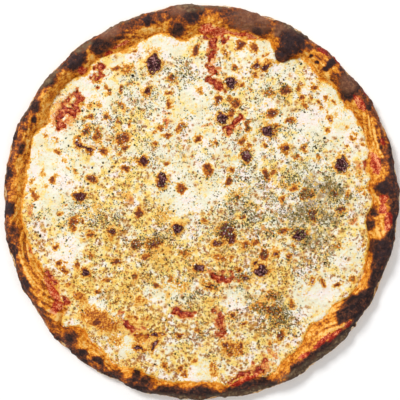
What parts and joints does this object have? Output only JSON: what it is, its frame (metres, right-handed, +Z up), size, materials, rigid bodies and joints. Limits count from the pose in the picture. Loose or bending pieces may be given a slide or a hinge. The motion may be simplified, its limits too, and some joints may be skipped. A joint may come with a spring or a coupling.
{
  "type": "cheese pizza",
  "caption": "Round whole cheese pizza: a charred, puffed rim around melted cheese with browned blisters, patches of tomato sauce and dried herb flakes.",
  "frame": {"origin": "middle of the flat underside, on the surface the pizza lies on", "axes": "+Z up through the pizza's thickness, +Y towards the top of the picture, +X towards its right"},
  "size_m": [0.3208, 0.3202, 0.0185],
  "materials": {
    "crust": "matte baked dough, charred on top",
    "sauce": "oily, glossy tomato sauce",
    "cheese": "oily melted cheese with browned blisters"
  },
  "bodies": {
    "root": {"crust": "crust", "sauce": "sauce", "cheese": "cheese"}
  },
  "joints": []
}
